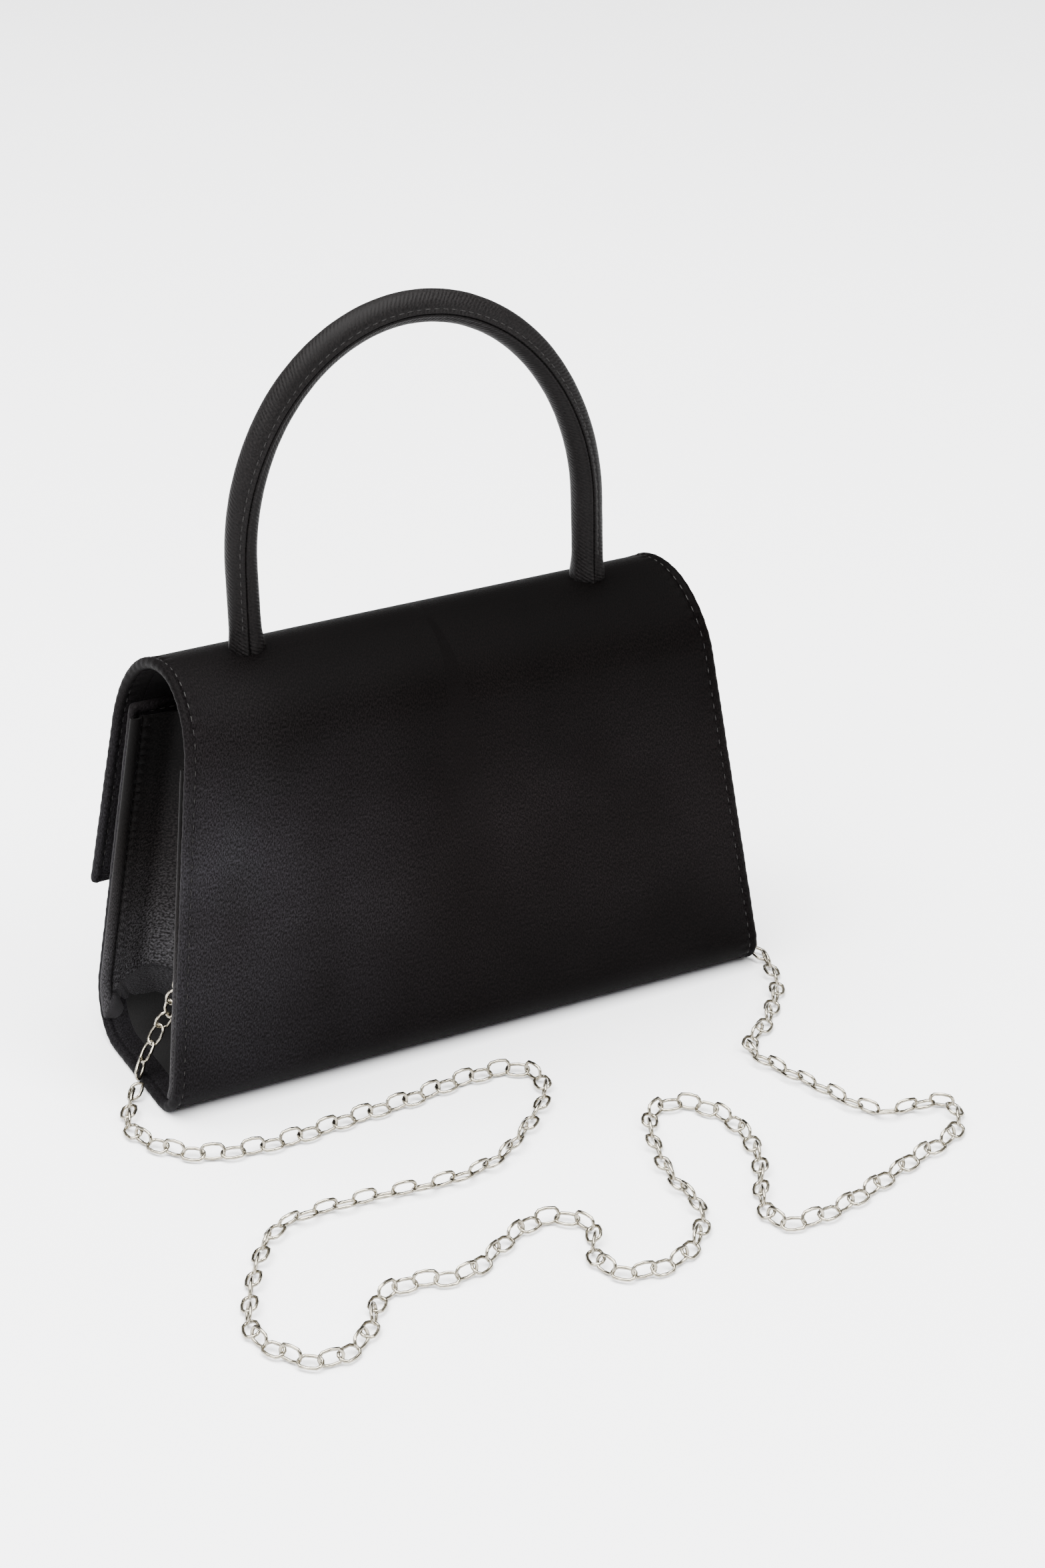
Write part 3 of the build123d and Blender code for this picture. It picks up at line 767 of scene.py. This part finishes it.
def gusset_skin(side):
    """One gusset's soft surface with its folded foot."""
    columns = [index / 110 for index in range(111)]
    drops = [index / 120 for index in range(121)] + [1.012, 1.035, 1.07, 1.13, 1.25, 1.5, 1.75, 2.0]

    def place(column, row):
        foot = foot_height(column)
        drop = min(row, 1.0)
        z = gusset_top + (foot - gusset_top) * drop
        inset, y = soft_line(gusset_plan(z), column)
        free = max(0.0, 1 - abs(column - 0.5) / 0.26)
        near_front = inset if column < 0.5 else 99.0
        near_back = inset if column > 0.5 else 99.0
        wave = stitch_wave(z * 1.02, ladder_pitch)
        for near, turn in ((near_front, 1), (near_back, -1)):
            ladder = (0.95 * wave ** 2 - 0.36) * bump(near, gusset_stitch + 1.7, 1.5)
            groove = (0.40 + 0.35 * wave) * bump(near, gusset_stitch, 0.6)
            y -= turn * (groove + ladder)
        crumple = 1.1 * noise.noise(Vector((column * 5.5, z * 0.022, side * 4.0)))
        crumple += 0.45 * noise.noise(Vector((column * 13.0, z * 0.07, side * 2.0)))
        low = max(0.0, 1 - (z - foot) / 26.0)
        crumple += 3.0 * low * noise.noise(Vector((column * 8.0, z * 0.09, side * 6.0)))
        inset += crumple * free
        y += 0.5 * crumple * free
        if row > 1.0:
            under = row - 1.0
            curl = min(1.0, under / 0.07)
            z -= 0.5 * sin(curl * pi / 2)
            inset += 0.9 * sin(curl * pi / 2) + 7.0 * under
            z += (4.0 - z) * max(0.0, under - 0.07) / 0.93
        return Vector((side * (half_width(max(z, 0.0)) - inset), y, z)) * MM

    name = "gusset_skin_" + ("left" if side > 0 else "right")
    piece = laid_grid(name, columns, drops, place,
                      lambda column, row: (columns[column] * 0.09, drops[row] * 0.11))
    if side > 0:
        only(piece)
        bpy.ops.object.mode_set(mode="EDIT")
        bpy.ops.mesh.select_all(action="SELECT")
        bpy.ops.mesh.flip_normals()
        bpy.ops.object.mode_set(mode="OBJECT")
    thicken(piece, gusset_plies)
    return close_shell(piece, 70)


def follow_gusset(piece):
    """Bake a gusset piece's place into its mesh."""
    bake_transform(piece)


soft_satin = new_material("gusset_satin_black", Roughness=0.5, Specular_IOR_Level=0.03, Sheen_Weight=0.012,
                          Sheen_Roughness=0.5)
# Painted shade: the gusset satin's colour darkens upwards from 34 mm to 98 mm, for the shade deep in the side
# recess. The strap tapes share this material.
dress_satin(soft_satin, "#0c0b0b", "#3c3b3d",
            height_shade=((0, "#ffffff"), (34, "#ffffff"), (64, "#96908c"), (98, "#4f4a47")))
for side, word in ((1, "left"), (-1, "right")):
    gusset = gusset_skin(side)
    cover(gusset, soft_satin)
    follow_gusset(gusset)
    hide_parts("gusset_" + word, "gusset_lining_" + word)
    places = []
    for index in range(rung_count):
        z = rung_low + rung_pitch * index
        x, y = side * (half_width(z) - gusset_stitch), gusset_plan(z)[5][1] + 0.1
        places.append((Vector((x, y, z)), Vector((0.9 * side, 0.05, -0.45)), Vector((0, 1, 0))))
        places.append((Vector((x - side * 2.6, y + 0.35, z + 0.4)), Vector((0.2 * side, 0.05, -0.9)),
                       Vector((0, 1, 0))))
    rungs = join(stitch_row(stitch, places), "gusset_threads_" + word)
    cover(rungs, thread)
    follow_gusset(rungs)

# ---------------------------------------------------------------------------------------
# Handle. A cotton cord core in a bias-cut satin sleeve, drawn tight; the sleeve's two raw
# edges are turned in and meet as a pair of fine welts along the back, with a row of stitches
# beside them. The feet go through slits in the top and are pulled down inside.
handle_half_span, handle_y = 58.5, 9.0
leg_foot, leg_top, bow_rise = 132.3, 165.0, 71.7
tube_radius = 5.0
top_height = 138.5
sleeve_pitch = 2.9
stitch_column = -19.5


def bow_place(angle):
    """A point of the handle's bow in mm, from 0 at the left leg to pi at the right."""
    return Vector((handle_half_span * cos(angle), handle_y, leg_top + bow_rise * sin(angle)))


bow_angles = [pi * index / 400 for index in range(401)]
bow_reach = [0.0]
for before, after in zip(bow_angles, bow_angles[1:]):
    bow_reach.append(bow_reach[-1] + (bow_place(after) - bow_place(before)).length)
leg_length = leg_top - leg_foot
handle_length = 2 * leg_length + bow_reach[-1]


def handle_line(distance):
    """A point on the handle's centre line and the way along it."""
    if distance <= leg_length:
        return Vector((handle_half_span, handle_y, leg_foot + distance)), Vector((0, 0, 1))
    if distance >= handle_length - leg_length:
        return Vector((-handle_half_span, handle_y, leg_foot + handle_length - distance)), Vector((0, 0, -1))
    reach = distance - leg_length
    index = next(number for number, value in enumerate(bow_reach) if value >= reach)
    index = max(index, 1)
    share = (reach - bow_reach[index - 1]) / (bow_reach[index] - bow_reach[index - 1])
    angle = bow_angles[index - 1] + share * (bow_angles[index] - bow_angles[index - 1])
    way = Vector((-handle_half_span * sin(angle), 0, bow_rise * cos(angle))).normalized()
    return bow_place(angle), way


def sleeve_point(column, distance):
    """A point on the sleeve: column is the angle from the seam, in degrees."""
    centre, way = handle_line(distance)
    out = Vector((way.z, 0, -way.x))
    share = distance / handle_length
    seam = 80 + 28 * sin(pi * share) ** 2 + 16 * share ** 8
    seam += 2.0 * noise.noise(Vector((distance * 0.03, 0, 8)))
    angle = radians(seam + column)
    arc = radians((column + 180) % 360 - 180) * tube_radius
    wave = stitch_wave(distance, sleeve_pitch)
    radius = tube_radius + 0.34 * (bump(arc, 0.62, 0.42) + bump(arc, -0.62, 0.42))
    radius -= 0.50 * bump(arc, 0.0, 0.17)
    radius -= (0.10 + 0.16 * wave) * bump(arc, -1.75, 0.3)
    radius += (0.09 * wave - 0.03) * (bump(arc, -2.5, 0.7) + bump(arc, 1.5, 0.6))
    radius += 0.08 * noise.noise(Vector((1.4 * cos(angle), 1.4 * sin(angle), distance * 0.05)))
    radius += 0.05 * noise.noise(Vector((4 * cos(angle), 4 * sin(angle), distance * 0.3 + 4 * sin(angle))))
    height = min(distance, handle_length - distance) - (top_height - leg_foot)
    gather = bump(height, 0.0, 4.5)
    radius += gather * (0.55 + 0.30 * sin(7 * angle + distance * 0.1) + 0.18 * sin(12 * angle))
    return (centre + (out * cos(angle) + Vector((0, 1, 0)) * sin(angle)) * radius) * MM


seam_columns = [-44, -38, -33, -28, -24.5, -22, -20, -18, -15.5, -12.5, -10, -8, -6, -4, -2.6, -1.3,
                0, 1.3, 2.6, 4, 6, 8, 10, 12.5, 15.5, 19, 23, 28, 34, 41, 49, 58, 68, 80, 93, 107,
                122, 138, 154, 170, 186,
                202, 217, 231, 244, 256, 267, 277, 286, 295, 303, 310, 316]
sleeve_rows = [index * handle_length / 430 for index in range(431)]
sleeve = laid_grid("handle_sleeve", seam_columns, sleeve_rows, sleeve_point,
                   lambda column, row: (radians(seam_columns[column]) * tube_radius * MM,
                                        sleeve_rows[row] * MM))
close_shell(sleeve, 60)
sleeve_satin = new_material("bias_sleeve_satin_black", Roughness=0.38, Specular_IOR_Level=0.07,
                            Sheen_Weight=0.004, Sheen_Roughness=0.45)
dress_satin(sleeve_satin, "#040303", "#131111", map_turn=radians(60), ridge_gap=0.0011)
cover(sleeve, sleeve_satin)


def follow_handle(piece):
    """Bake a handle piece's place into its mesh."""
    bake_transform(piece)


follow_handle(sleeve)
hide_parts("handle_cover")
sleeve_places = []
for index in range(5, int(handle_length / sleeve_pitch) - 4):
    centre, way = handle_line(index * sleeve_pitch)
    point = sleeve_point(stitch_column, index * sleeve_pitch) / MM
    sleeve_places.append((point, way, (point - centre).normalized()))
sleeve_threads = join(stitch_row(stitch, sleeve_places), "handle_threads")
cover(sleeve_threads, thread)
follow_handle(sleeve_threads)
bpy.data.objects.remove(stitch)

# ---------------------------------------------------------------------------------------
# Stiffeners and fixings inside: pressed fibre board, cotton cord, zinc-plated steel washers,
# rivets and magnets. They are closed in by cloth, and only the washers show from inside.
board = new_material("pressed_fibre_board_dyed", Roughness=0.9, Specular_IOR_Level=0.04)
mottle(board, 900.0, 4.0, (0.3, "#0b0a09"), (0.7, "#161412"))
cotton = new_material("twisted_cotton_cord", Roughness=0.9)
mottle(cotton, 1200.0, 3.0, (0.3, "#c9c0ac"), (0.7, "#e4dccb"))
zinc = new_material("zinc_plated_steel", Metallic=1.0, Roughness=0.35)
mottle(zinc, 700.0, 2.0, (0.3, "#4a4b4c"), (0.7, "#6a6a69"))
boards = ("base_board", "back_board", "top_board", "front_board", "flap_board")
fixings = ("flap_magnet", "front_magnet", "handle_anchor_left", "handle_anchor_right",
           "handle_rivet_left", "handle_rivet_right")
for names, finish in ((boards, board), (("handle_core",), cotton), (fixings, zinc)):
    for name in names:
        cover(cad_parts[name], finish)

# ---------------------------------------------------------------------------------------
# Slip pocket. A patch of the lining cloth with a double-turned hem along its mouth, sewn to
# the back lining on three sides.
pocket_half, pocket_depth, pocket_foot_z = 55.0, 62.1, 30.0
pocket_hem = 7
pocket_start = base_middle + base_run / 2 + back_radius * back_turn + (pocket_foot_z - back_foot_z)
pocket_end = pocket_start + pocket_depth


def pocket_place(column, row):
    """A point of the pocket's cloth, standing a little off the lining and fuller in the middle."""
    side_gap = pocket_half - abs(column)
    hem = 0.35 if row > pocket_end - pocket_hem else 0
    seam = min(side_gap, row - pocket_start)
    lift = 0.25 + 0.35 * min(1.0, seam / 4) + hem + 0.12 * noise.noise(Vector((column * 0.05, row * 0.05, 1)))
    y, z, _ = outline(row, wall + lift)
    return Vector((column, y, z)) * MM


pocket_columns = [-pocket_half + 2 * pocket_half * index / 44 for index in range(45)]
pocket_rows = [pocket_start + pocket_depth * index / 26 for index in range(27)]
pocket = laid_grid("slip_pocket_cloth", pocket_columns, pocket_rows, pocket_place,
                   lambda column, row: (pocket_columns[column] * MM, pocket_rows[row] * MM))
thicken(pocket, 0.35, offset=-1)
close_shell(pocket)
cover(pocket, lining_cloth)
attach(pocket, "bag_body")
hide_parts("slip_pocket")

# ---------------------------------------------------------------------------------------
# Ring loops. A folded satin tape passes round each strap ring and is sewn to the inside of
# the back panel above it.
tape_bend = 2.35
for side, word in ((1, "left"), (-1, "right")):
    low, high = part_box("strap_tab_" + word)
    middle = (low + high) / 2 / MM
    eye_y, eye_z = high.y / MM - 2.75, low.z / MM + 2.9

    def loop_place(column, row):
        """A point of the tape in its turn round the ring, and then up the panel."""
        angle = radians(90 - 360 * min(row, 1.0))
        y, z = eye_y + tape_bend * sin(angle), eye_z + tape_bend * cos(angle)
        if row > 1.0:
            y = eye_y + tape_bend - 0.1 * (row - 1)
            z = eye_z + (row - 1) * 8.5
        z += 0.05 * noise.noise(Vector((column, row * 3, side)))
        return Vector((middle.x + column, y, z)) * MM

    loop_columns = [-2.45, -2.2, -1.5, -0.75, 0, 0.75, 1.5, 2.2, 2.45]
    loop_rows = [index / 28 for index in range(29)] + [1.15, 1.4, 1.7, 2.0]
    tape = laid_grid("strap_tape_" + word, loop_columns, loop_rows, loop_place,
                     lambda column, row: (loop_columns[column] * MM, loop_rows[row] * 0.015))
    thicken(tape, 0.55)
    close_shell(tape)
    cover(tape, soft_satin)
    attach(tape, "bag_body")
    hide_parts("strap_tab_" + word)

# ---------------------------------------------------------------------------------------
# Studio. A seamless pale floor, a broad soft light overhead, a faint cool one low at the
# bag's left, a small one high behind its right side, and an even pale surround.
bpy.ops.object.select_all(action="DESELECT")
bpy.ops.mesh.primitive_plane_add(size=12, location=(0, 0, -0.0002))
floor = bpy.context.object
floor.name = "studio_floor"
paper = new_material("matt_background_paper", Roughness=0.9)
mottle(paper, 3.0, 2.0, (0.3, "#e6e6e7"), (0.7, "#e9e9ea"))
floor.data.materials.append(paper)


def soft_light(name, place, target, size, power, colour):
    """A square soft box aimed at a point."""
    data = bpy.data.lights.new(name, "AREA")
    data.shape = "SQUARE"
    data.size = size
    data.energy = power
    data.color = linear(colour)[:3]
    made = bpy.data.objects.new(name, data)
    bpy.context.scene.collection.objects.link(made)
    way = Vector(target) - Vector(place)
    made.matrix_world = Matrix.Translation(place) @ way.to_track_quat("-Z", "Y").to_matrix().to_4x4()


soft_light("overhead_light", (0.5, 0.1, 2.4), (0, 0.05, 0), 3.2, 540, "#ffffff")
soft_light("left_light", (1.6, 0.5, 0.5), (0.03, 0.03, 0.06), 0.8, 12, "#f4f7ff")
soft_light("rear_light", (-0.9, 1.57, 1.72), (0, 0, 0.18), 0.8, 70, "#ffffff")
world = bpy.data.worlds.new("studio_surround")
world.use_nodes = True
world.node_tree.nodes["Background"].inputs["Color"].default_value = linear("#f2f3f5")
world.node_tree.nodes["Background"].inputs["Strength"].default_value = 0.45
bpy.context.scene.world = world
